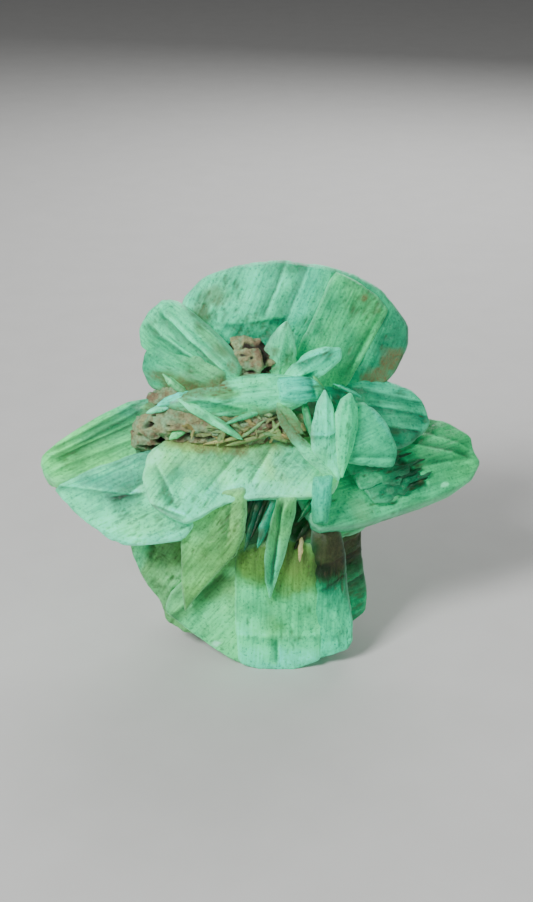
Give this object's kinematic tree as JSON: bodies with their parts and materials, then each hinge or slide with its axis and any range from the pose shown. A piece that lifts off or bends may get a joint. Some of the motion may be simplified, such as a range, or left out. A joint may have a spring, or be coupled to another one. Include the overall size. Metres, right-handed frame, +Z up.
{
  "type": "selenite crystal cluster",
  "caption": "Free-standing rosette of intergrown green tabular selenite blades on a narrow foot, with brown clay packed in its hollows.",
  "frame": {"origin": "on the resting plane, under the middle of the bounding box", "axes": "+Z up, +X to the right seen from the show side, +Y away from the show side"},
  "size_m": [0.1229, 0.0704, 0.1072],
  "materials": {
    "selenite": "satin",
    "clay": "matte"
  },
  "bodies": {
    "root": {"crystal_cluster": "selenite", "clay_hollow": "clay", "clay_collar": "clay"}
  },
  "joints": []
}
